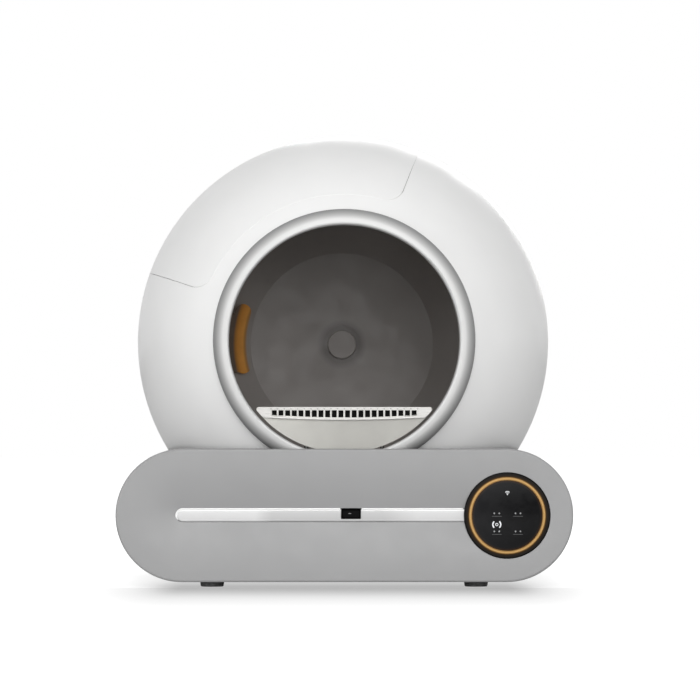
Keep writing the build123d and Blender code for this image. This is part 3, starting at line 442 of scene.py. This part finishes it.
def trimFence(band, lip, dimples):  # the slotted band, a polished lip under it, lighter as a painted highlight, and a dimple over each bar, darker as painted shade
    low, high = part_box("litter_fence")
    middle, half = (low.x + high.x) / 2, (high.x - low.x) / 2 - band["edge"]
    slottedBand(band, low, high, drawnMetal("fenceTrim", fenceTrim))
    shares = [lip["share"] * (2 * step / lip["steps"] - 1) for step in range(lip["steps"] + 1)]
    points = [(middle + half * share, low.y - band["proud"] + lip["radius"] / 2,
               high.z - bandLow(share, band["lowEnd"], band["lowMiddle"]) + lip["rise"])
              for share in shares]
    roundBar("fence_lip", points, lip, drawnMetal("lipHighlightTrim", lipHighlightTrim), "fence")
    spots = [(middle + (index - band["count"] / 2) * band["apart"],
              low.y - band["proud"], high.z - dimples["drop"])
             for index in range(band["count"] + 1)]
    domes("fence_dimples", spots, dimples, drawnMetal("dimpleShadeTrim", dimpleShadeTrim), "fence")


trimFence(fenceBand, lipBar, bandDimples)

# Cassette
binDark = dict(colour=(0.09, 0.09, 0.092), spread=0.12, cloud=40 * mm, satin=0.5, wear=0.1,
               peel=3 * mm, peelDepth=0.01 * mm, grain=0.7 * mm, grainDepth=0.02 * mm)
dress("bin_dark", mouldedPlastic("binDark", binDark))
print("fence and cassette dressed")

# Gears and rollers
gearPlastic = dict(colour=(0.72, 0.7, 0.63), spread=0.03, cloud=25 * mm, satin=0.36, wear=0.06,
                   peel=2 * mm, peelDepth=0.008 * mm, grain=0.5 * mm, grainDepth=0.006 * mm)
dress("gear_plastic", mouldedPlastic("gearPlastic", gearPlastic))

rollerRubber = dict(colour=(0.03, 0.03, 0.031), spread=0.25, cloud=6 * mm, satin=0.72, wear=0.1,
                    peel=1.5 * mm, peelDepth=0.03 * mm, grain=0.4 * mm, grainDepth=0.03 * mm)
dress("roller_rubber", mouldedPlastic("rollerRubber", rollerRubber))

mountGrey = dict(colour=(0.12, 0.12, 0.125), spread=0.1, cloud=15 * mm, satin=0.5, wear=0.08,
                 peel=2 * mm, peelDepth=0.01 * mm, grain=0.5 * mm, grainDepth=0.02 * mm)
dress("mount_grey", mouldedPlastic("mountGrey", mountGrey))

steel = dict(colour=(0.56, 0.56, 0.57), spread=0.05, cloud=8 * mm, satin=0.3, wear=0.08, metal=1.0,
             line=0.3 * mm, along=(1, 0.05, 1), lineDepth=0.004 * mm)
dress("steel", drawnMetal("steel", steel))

cellMetal = dict(colour=(0.62, 0.62, 0.63), spread=0.04, cloud=8 * mm, satin=0.38, wear=0.06, metal=1.0,
                 line=0.3 * mm, along=(0.05, 1, 1), lineDepth=0.005 * mm)
dress("cell_metal", drawnMetal("cellMetal", cellMetal))
print("drive dressed")

# Base
baseGrey = dict(colour=(0.295, 0.295, 0.297), spread=0.015, cloud=80 * mm, satin=0.42, wear=0.05,
                peel=2 * mm, peelDepth=0.004 * mm, grain=0.5 * mm, grainDepth=0.004 * mm)
dress("base_grey", mouldedPlastic("baseGrey", baseGrey))

# Painted light: the rubber is lighter than its own dark grey, standing in for light on the feet in the base's
# shadow
footRubber = dict(colour=(0.19, 0.19, 0.192), spread=0.2, cloud=8 * mm, satin=0.7, wear=0.1,
                  peel=1.5 * mm, peelDepth=0.03 * mm, grain=0.4 * mm, grainDepth=0.03 * mm)
dress("foot_rubber", mouldedPlastic("footRubber", footRubber))

stripWhite = dict(colour=(0.52, 0.52, 0.52), spread=0.01, cloud=60 * mm, satin=0.12, wear=0.03, coat=0.6,
                  coatRough=0.03, peel=4 * mm, peelDepth=0.003 * mm, grain=1 * mm, grainDepth=0.0005 * mm,
                  # The two tone lists below: painted reflection, lighter at the top and towards both ends
                  upDownSheen=((-7 * mm, 0.98), (-4 * mm, 0.88), (2.5 * mm, 1.0), (5 * mm, 1.1)),
                  across=((-105 * mm, 1.3), (-85 * mm, 1.0), (45 * mm, 1.0), (85 * mm, 1.25)))
stripBar = dict(height=16.0 * mm, left=71.0 * mm, inset=0.5 * mm, windowProud=0.8 * mm, sink=0.7 * mm,
                radius=1.2 * mm, roundness=3, tip=0.2, taper=6, bothTips=False,
                turnFrom=225, turn=135, curve=24, rimGap=0.5 * mm)
stripZ = (fasciaLow.z + fasciaHigh.z) / 2 + 0.2 * mm


def glossStrip(look):  # painted reflection: lighter at its top and towards both ends, as the gloss would reflect the lamps
    finish = mouldedPlastic("stripWhite", look)
    tree, shader = opened(finish)
    shadeAlong(tree, shader, "Z", [(stripZ + place, tone) for place, tone in look["upDownSheen"]])
    shadeAlong(tree, shader, "X", look["across"])
    return finish


dress("strip_white", glossStrip(stripWhite))

windowBlack = dict(colour=(0.001, 0.001, 0.001), spread=0.1, cloud=20 * mm, satin=0.3, wear=0.03,
                   shine=0.01, peel=4 * mm, peelDepth=0.002 * mm, grain=1 * mm, grainDepth=0.0005 * mm)
windowFinish = mouldedPlastic("windowBlack", windowBlack)
dress("window_black", windowFinish)

windowLow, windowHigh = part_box("sensor_window")
windowFront = windowLow.y
# A lighter white than the strip: a painted highlight along the strip's top edge
edgeHighlightWhite = dict(colour=(0.86, 0.86, 0.86), spread=0.01, cloud=20 * mm, satin=0.15, wear=0.03,
                 coat=0.5, coatRough=0.05, peel=4 * mm, peelDepth=0.002 * mm, grain=1 * mm, grainDepth=0.0005 * mm)
lensSmoke = dict(colour=(0.003, 0.003, 0.0035), spread=0.1, cloud=10 * mm, satin=0.1, wear=0.03, shine=0.04,
                 peel=4 * mm, peelDepth=0.002 * mm, grain=1 * mm, grainDepth=0.0005 * mm)
# A grey eye standing in for a painted glint on the window
eyeGlintGrey = dict(colour=(0.1, 0.1, 0.1), spread=0.1, cloud=4 * mm, satin=0.1, wear=0.03, shine=0.5,
               peel=2 * mm, peelDepth=0.002 * mm, grain=0.5 * mm, grainDepth=0.0005 * mm)
windowLens = dict(inset=1.9 * mm, recess=0.4 * mm, thick=0.25 * mm, round=0.8 * mm, corner=6)
windowEye = dict(x=-1.4 * mm, z=0.5 * mm, wide=1.9 * mm, high=0.7 * mm, proud=0.12 * mm, rows=4, sides=24)


def stripEdge(look):  # a white bar along the strip's upper edge and round its left end, lighter than the strip: a painted highlight that also covers the shaded gap above the strip
    finish = mouldedPlastic("edgeHighlightWhite", edgeHighlightWhite)
    reach = look["height"] / 2 - look["inset"]
    depth = windowFront + look["windowProud"] + look["sink"]
    endX = fasciaLow.x + look["left"] + look["height"] / 2
    degrees = [look["turnFrom"] - look["turn"] * step / look["curve"] for step in range(look["curve"] + 1)]
    turns = [math.radians(degree) for degree in degrees]
    points = [(endX + reach * math.cos(turn), depth, stripZ + reach * math.sin(turn)) for turn in turns]
    rimLow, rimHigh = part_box("panel_bezel")
    rimRadius = (rimHigh.x - rimLow.x) / 2 + look["rimGap"] + look["radius"]
    stopX = glassCentre.x - math.sqrt(rimRadius ** 2 - (stripZ + reach - glassCentre.z) ** 2)
    high = stripZ + reach
    points.append((windowLow.x - look["radius"], depth, high))
    right = [(windowHigh.x + look["radius"], depth, high), (stopX, depth, high)]
    blunt = {**look, "tip": 1}
    roundBar("strip_edge", points, look, finish, "base")
    roundBar("strip_edge_right", right, blunt, finish, "base")
    brow = [(windowLow.x, depth, high), (windowHigh.x, depth, high)]
    roundBar("window_brow", brow, blunt, windowFinish, "base")


# A thin plate with rounded corners that faces the front
def roundedPlate(name, centre, wide, high, look, finish, body):
    acrossX, acrossZ = wide / 2 - look["round"], high / 2 - look["round"]
    outline = []
    for corner, (sideX, sideZ) in enumerate(((1, 1), (-1, 1), (-1, -1), (1, -1))):
        for step in range(look["corner"] + 1):
            turn = math.radians(90 * (corner + step / look["corner"]))
            outline.append((centre[0] + sideX * acrossX + look["round"] * math.cos(turn), centre[1],
                            centre[2] + sideZ * acrossZ + look["round"] * math.sin(turn)))
    count = len(outline)
    rear = [(x, y + look["thick"], z) for x, y, z in outline]
    mesh = bpy.data.meshes.new(name)
    sides = [(s, s + count, (s + 1) % count + count, (s + 1) % count) for s in range(count)]
    front, back = list(range(count)), list(range(2 * count - 1, count - 1, -1))
    mesh.from_pydata(outline + rear, [], [front, back] + sides)
    mesh.materials.append(finish)
    plate = linkNew(name, mesh)
    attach(plate, body)


def windowPieces(lens, eye):  # the smoked lens in the window's rim and the small eye behind it, whose grey is a painted glint
    centre = ((windowLow.x + windowHigh.x) / 2, windowFront + lens["recess"] - lens["thick"],
              (windowLow.z + windowHigh.z) / 2)
    wide = windowHigh.x - windowLow.x - 2 * lens["inset"]
    high = windowHigh.z - windowLow.z - 2 * lens["inset"]
    smoke = mouldedPlastic("lensSmoke", lensSmoke)
    roundedPlate("window_lens", centre, wide, high, lens, smoke, "base")
    spot = (centre[0] + eye["x"], centre[1], centre[2] + eye["z"])
    domes("window_eye", [spot], eye, mouldedPlastic("eyeGlintGrey", eyeGlintGrey), "base")


stripEdge(stripBar)
windowPieces(windowLens, windowEye)

housingDark = dict(colour=(0.02, 0.02, 0.021), spread=0.15, cloud=25 * mm, satin=0.5, wear=0.08,
                   peel=2.5 * mm, peelDepth=0.01 * mm, grain=0.6 * mm, grainDepth=0.02 * mm)
dress("housing_dark", mouldedPlastic("housingDark", housingDark))
print("base dressed")

# Touch panel
lightGold = dict(colour=(0.395, 0.238, 0.085), spread=0.05, cloud=12 * mm, satin=0.3, wear=0.05,
                 metal=0.3, glow=0.05, shine=0.2,
                 line=0.3 * mm, lineDepth=0.001 * mm, waver=0.4, waverSize=4.0,
                 grain=0.4 * mm, grainDepth=0.002 * mm,
                 edge=(0.12, 0.048, 0.001), innerWidth=1.9 * mm, outerWidth=1.35 * mm)


def goldLight(look):  # a bright core between brown edges
    finish = turnedMetal("lightGold", look, glassCentre)
    tree, shader = opened(finish)
    low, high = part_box("panel_light_ring")
    outer = (high.x - low.x) / 2
    inner = (glassHigh.x - glassLow.x) / 2
    stops = [(inner, look["edge"]), (inner + look["innerWidth"], look["colour"]),
             (outer - look["outerWidth"], look["colour"]), (outer, look["edge"])]
    shader.inputs["Specular IOR Level"].default_value = look["shine"]
    core = bands(tree, reachFromAxis(tree, glassCentre), stops)
    tree.links.new(core, shader.inputs["Base Color"])
    tree.links.new(core, shader.inputs["Emission Color"])
    shader.inputs["Emission Strength"].default_value = look["glow"]
    return finish


def litEdge(finish, stops):  # painted glow: the light ring's brown gleam, painted as emission on the rim and glass beside it, which are no lamps
    tree, shader = opened(finish)
    tree.links.new(bands(tree, reachFromAxis(tree, glassCentre), stops), shader.inputs["Emission Color"])
    shader.inputs["Emission Strength"].default_value = 1.0
    return finish


dress("light_gold", goldLight(lightGold))

rimBlack = dict(colour=(0.007, 0.0068, 0.0065), spread=0.1, cloud=20 * mm, satin=0.2, wear=0.04, shine=0.05,
                peel=4 * mm, peelDepth=0.002 * mm, grain=1 * mm, grainDepth=0.0005 * mm)
# A painted glow from the light ring on the rim's inner edge
rimGleam = [(45.4 * mm, (0.05, 0.024, 0.003)), (47 * mm, (0.012, 0.006, 0.0015)), (50 * mm, (0, 0, 0))]
dress("rim_black", litEdge(mouldedPlastic("rimBlack", rimBlack), rimGleam))

panelGlass = dict(colour=(0.006, 0.006, 0.0065), spread=0.1, cloud=25 * mm, satin=0.05, wear=0.02, shine=0.1,
                  peel=8 * mm, peelDepth=0.002 * mm, grain=2 * mm, grainDepth=0.0003 * mm)
# A painted glow from the light ring on the glass's outer edge
glassGleam = [(38.5 * mm, (0, 0, 0)), (41.3 * mm, (0.025, 0.01, 0.001))]
# Painted reflection: the glass is a little lighter on its left
glassSheenTones = ((-40 * mm, 2.3), (-10 * mm, 1.5), (25 * mm, 0.8))


def glassFinish(look):  # painted reflection: a little lighter on its left, as a soft sheen of the lamps
    finish = litEdge(mouldedPlastic("panelGlass", look), glassGleam)
    tree, shader = opened(finish)
    shadeAlong(tree, shader, "X", [(glassCentre.x + place, tone) for place, tone in glassSheenTones])
    return finish


dress("panel_glass", glassFinish(panelGlass))

boardGreen = dict(colour=(0.02, 0.13, 0.06), spread=0.1, trace=(0.05, 0.26, 0.12), pad=(0.75, 0.6, 0.32),
                  trackSize=4 * mm, trackLong=3, trackWidth=0.12,
                  padSize=9 * mm, padShare=0.16, padJitter=0.4, satin=0.3)


def circuitBoard(look):  # tracks and round pads under the green lacquer
    finish, tree, shader = startFinish("boardGreen")
    place = piecePlace(tree)
    tracks = addNode(tree, "ShaderNodeTexBrick", Scale=1.0, offset=0.5)
    tracks.inputs["Brick Width"].default_value = look["trackSize"] * look["trackLong"]
    tracks.inputs["Row Height"].default_value = look["trackSize"]
    tracks.inputs["Mortar Size"].default_value = look["trackSize"] * look["trackWidth"]
    tracks.inputs["Color1"].default_value = (*look["colour"], 1)
    tracks.inputs["Color2"].default_value = (*shades(look["colour"], look["spread"])[1], 1)
    tracks.inputs["Mortar"].default_value = (*look["trace"], 1)
    tree.links.new(place, tracks.inputs["Vector"])
    pads = addNode(tree, "ShaderNodeTexVoronoi", Scale=1 / look["padSize"], Randomness=look["padJitter"])
    tree.links.new(place, pads.inputs["Vector"])
    inPad = addNode(tree, "ShaderNodeMath", operation="LESS_THAN")
    inPad.inputs[1].default_value = look["padShare"]
    tree.links.new(pads.outputs["Distance"], inPad.inputs[0])
    both = addNode(tree, "ShaderNodeMix", data_type="RGBA")
    tree.links.new(inPad.outputs["Value"], both.inputs["Factor"])
    tree.links.new(tracks.outputs["Color"], both.inputs[mixFirst])
    both.inputs[mixSecond].default_value = (*look["pad"], 1)
    tree.links.new(both.outputs[mixResult], shader.inputs["Base Color"])
    tree.links.new(inPad.outputs["Value"], shader.inputs["Metallic"])
    shader.inputs["Roughness"].default_value = look["satin"]
    return finish


dress("board_green", circuitBoard(boardGreen))

# Bright marks on the touch panel: arcs, a ring with waves, and four plain key marks
markLook = dict(colour=(0.8, 0.81, 0.83), spread=0.04, cloud=3 * mm, rough=0.4, glow=0.3,
                radius=0.34 * mm, roundness=2, tip=1, taper=1, proud=0.12, steps=14)
waveMark = dict(x=0.2 * mm, z=24.9 * mm, dot=0.3, arcs=(1.9, 3.5), fan=47)
ringMark = dict(x=-12.4 * mm, z=-10.6 * mm, ring=1.5, arcs=(4.3, 5.1), fan=50)
keyMarks = dict(x=(-12.4 * mm, 12.6 * mm), z=(2.6 * mm, -18.7 * mm), apart=2.9 * mm, dot=0.58 * mm,
                line=5.6 * mm, drop=3.5 * mm, glow=0.0, tone=0.5, barTone=0.06)


def markFinish(name, colour, glow):
    finish, tree, shader = startFinish(name)
    tint(tree, shader, speckle(tree, markLook["cloud"]), *shades(colour, markLook["spread"]))
    shader.inputs["Roughness"].default_value = markLook["rough"]
    shader.inputs["Emission Color"].default_value = (*colour, 1)
    shader.inputs["Emission Strength"].default_value = glow
    return finish


# Points on an arc in the panel's plane, with lengths in metres and angles in degrees
def arc(x, z, radius, start, end, steps):
    turns = [math.radians(start + (end - start) * i / steps) for i in range(steps + 1)]
    return [(x + radius * math.cos(t), 0, z + radius * math.sin(t)) for t in turns]


def drawMark(name, strokes, look, finish):  # strokes pressed nearly flat on the panel
    mesh = wireMesh(name, strokes, look, finish)
    for vertex in mesh.vertices:
        vertex.co.y *= look["proud"]
    mark = linkNew(name, mesh)
    mark.location = glassCentre
    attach(mark, "base")


def panelMarks():
    finish = markFinish("markWhite", markLook["colour"], markLook["glow"])
    steps = markLook["steps"]
    fan = waveMark["fan"]
    waves = [arc(waveMark["x"], waveMark["z"], r * mm, 90 - fan, 90 + fan, steps) for r in waveMark["arcs"]]
    waves.append(arc(waveMark["x"], waveMark["z"], waveMark["dot"] * mm, 0, 360, steps))
    drawMark("wave_mark", waves, markLook, finish)
    x, z, fan = ringMark["x"], ringMark["z"], ringMark["fan"]
    rings = [arc(x, z, ringMark["ring"] * mm, 0, 360, 2 * steps)]
    for side in (0, 180):
        rings += [arc(x, z, r * mm, side - fan, side + fan, steps) for r in ringMark["arcs"]]
    drawMark("ring_mark", rings, markLook, finish)
    dim = markFinish("markDim", [c * keyMarks["tone"] for c in markLook["colour"]], keyMarks["glow"])
    faint = markFinish("markFaint", [c * keyMarks["barTone"] for c in markLook["colour"]], keyMarks["glow"])
    apart, dot, line = keyMarks["apart"], keyMarks["dot"], keyMarks["line"]
    for row, z in enumerate(keyMarks["z"]):
        for column, x in enumerate(keyMarks["x"]):
            dots = [arc(x + side * apart, z, dot, 0, 360, steps) for side in (-1, 1)]
            bar = [(x - line, 0, z - keyMarks["drop"]), (x + line, 0, z - keyMarks["drop"])]
            drawMark(f"key_dots_{row}{column}", dots, markLook, dim)
            drawMark(f"key_bar_{row}{column}", [bar], markLook, faint)


panelMarks()
print("touch panel dressed")

# Floor, world and lamps
stageLook = dict(floor=0.82, spread=0.01, cloud=0.4, rough=0.9, size=30.0, ambient=0.41, seen=1.0,
                 cameraTone=0.35, core=(0.19, 0), soft=(0.085, 0.55),
                 # Lift to white by distance: lower near the base's front, a painted soft shadow
                 liftsWithShadow=((0, 0.31), (0.09, 0.31), (0.26, 0.42), (0.49, 0.6),
                        (0.69, 0.7), (1.0, 0.8), (1.6, 0.95), (2.4, 1.0)),
                 # Painted light on the floor just under the base's front
                 under=((0, 0), (0.02, 0.16), (0.25, 0.12), (0.6, 0)))
lampAim = 0.7  # the lamps look at this share of the height of the drum's middle
lampLooks = dict(
    high=dict(place=(-0.4, -2.9, 2.2), size=1.6, power=22),
    low=dict(place=(0.2, -4.2, 1.3), size=1.6, power=38),
    front=dict(place=(0.1, -3.9, 0.5), size=0.9, power=7),
    over=dict(place=(0, -0.3, 3.2), size=2.4, power=3),
    back=dict(place=(0.6, 3.9, 1.5), size=1.8, power=30),
    left=dict(place=(-2.1, -3.1, 0.4), size=0.8, power=21),
    right=dict(place=(1.7, -3.4, 0.4), size=0.8, power=15),
)


def paleFloor(look):  # the camera sees it lift to white away from the object; the lift is lower round the base's front, a painted soft shadow, and raised just under the base, painted light; the object's shadow stays
    finish, tree, shader = startFinish("paleFloor")
    tint(tree, shader, speckle(tree, look["cloud"]), *shades([look["floor"]] * 3, look["spread"]))
    shader.inputs["Roughness"].default_value = look["rough"]
    shader.inputs["Specular IOR Level"].default_value = 0.0
    steps = [("ABSOLUTE", None), ("SUBTRACT", (*look["core"], 0)), ("MAXIMUM", (0, 0, 0)),
             ("DIVIDE", (*look["soft"], 1))]
    away = piecePlace(tree, ((fasciaLow.x + fasciaHigh.x) / 2, fasciaLow.y, 0))
    for operation, second in steps:
        step = addNode(tree, "ShaderNodeVectorMath", operation=operation)
        tree.links.new(away, step.inputs[0])
        if second:
            step.inputs[1].default_value = second
        away = step.outputs["Vector"]
    reach = addNode(tree, "ShaderNodeVectorMath", operation="LENGTH")
    tree.links.new(away, reach.inputs[0])
    whiter = bands(tree, reach.outputs["Value"], greys(look["liftsWithShadow"]))
    nearLifts = [(fasciaLow.y + place, lift) for place, lift in look["under"]]
    under = bands(tree, placeAlong(tree, "Y"), greys(nearLifts))
    both = addNode(tree, "ShaderNodeMath", operation="ADD")
    tree.links.new(whiter, both.inputs[0])
    tree.links.new(under, both.inputs[1])
    rays = addNode(tree, "ShaderNodeLightPath")
    lift = addNode(tree, "ShaderNodeMath", operation="MULTIPLY")
    tree.links.new(both.outputs["Value"], lift.inputs[0])
    tree.links.new(rays.outputs["Is Camera Ray"], lift.inputs[1])
    tree.links.new(lift.outputs["Value"], shader.inputs["Emission Strength"])
    tone = addNode(tree, "ShaderNodeMapRange")
    tone.inputs["To Min"].default_value, tone.inputs["To Max"].default_value = 1.0, look["cameraTone"]
    tree.links.new(rays.outputs["Is Camera Ray"], tone.inputs["Value"])
    shadeBy(tree, shader, tone.outputs["Result"])
    shader.inputs["Emission Color"].default_value = (1, 1, 1, 1)
    mesh = bpy.data.meshes.new("floor")
    half = look["size"] / 2
    corners = [(-half, -half, 0), (half, -half, 0), (half, half, 0), (-half, half, 0)]
    mesh.from_pydata(corners, [], [(0, 1, 2, 3)])
    mesh.materials.append(finish)
    floor = linkNew("floor", mesh)


def whiteWorld(look):  # white to the camera and in reflections, and a plain level of light on the object
    world = bpy.data.worlds.new("studio")
    world.use_nodes = True
    bpy.context.scene.world = world
    tree = world.node_tree
    rays = addNode(tree, "ShaderNodeLightPath")
    either = addNode(tree, "ShaderNodeMath", operation="MAXIMUM")
    seen = addNode(tree, "ShaderNodeMath", operation="MAXIMUM")
    tree.links.new(rays.outputs["Is Camera Ray"], either.inputs[0])
    tree.links.new(rays.outputs["Is Glossy Ray"], either.inputs[1])
    tree.links.new(either.outputs["Value"], seen.inputs[0])
    tree.links.new(rays.outputs["Is Transmission Ray"], seen.inputs[1])
    level = addNode(tree, "ShaderNodeMapRange")
    level.inputs["To Min"].default_value, level.inputs["To Max"].default_value = look["ambient"], look["seen"]
    tree.links.new(seen.outputs["Value"], level.inputs["Value"])
    tree.links.new(level.outputs["Result"], tree.nodes["Background"].inputs["Strength"])
    tree.nodes["Background"].inputs["Color"].default_value = (1, 1, 1, 1)


def hangLamp(name, look):
    lamp = bpy.data.lights.new(name, "AREA")
    lamp.shape = "SQUARE"
    lamp.size = look["size"]
    lamp.energy = look["power"]
    holder = linkNew(name, lamp)
    holder.location = look["place"]
    aim = Vector((0, 0, drumCentre.z * lampAim)) - holder.location
    holder.rotation_euler = aim.to_track_quat("-Z", "Y").to_euler()


paleFloor(stageLook)
whiteWorld(stageLook)
for lampName, lampLook in lampLooks.items():
    hangLamp(lampName + "Lamp", lampLook)
print("floor, world and lamps set")

# Camera: straight from the front, a little below the middle of the drum
cameraLook = dict(x=-0.043, away=6.0, z=0.213, aim=(0.0065, 0.2807), lens=261.7, sensor=36.0)


def setCamera(look):
    camera = bpy.data.cameras.new("camera")
    camera.lens = look["lens"]
    camera.sensor_width = look["sensor"]
    holder = linkNew("camera", camera)
    holder.location = (look["x"], fasciaLow.y - look["away"], look["z"])
    aim = Vector((look["aim"][0], fasciaLow.y, look["aim"][1])) - holder.location
    holder.rotation_euler = aim.to_track_quat("-Z", "Y").to_euler()
    bpy.context.scene.camera = holder


setCamera(cameraLook)
bpy.context.scene.view_settings.view_transform = "Standard"
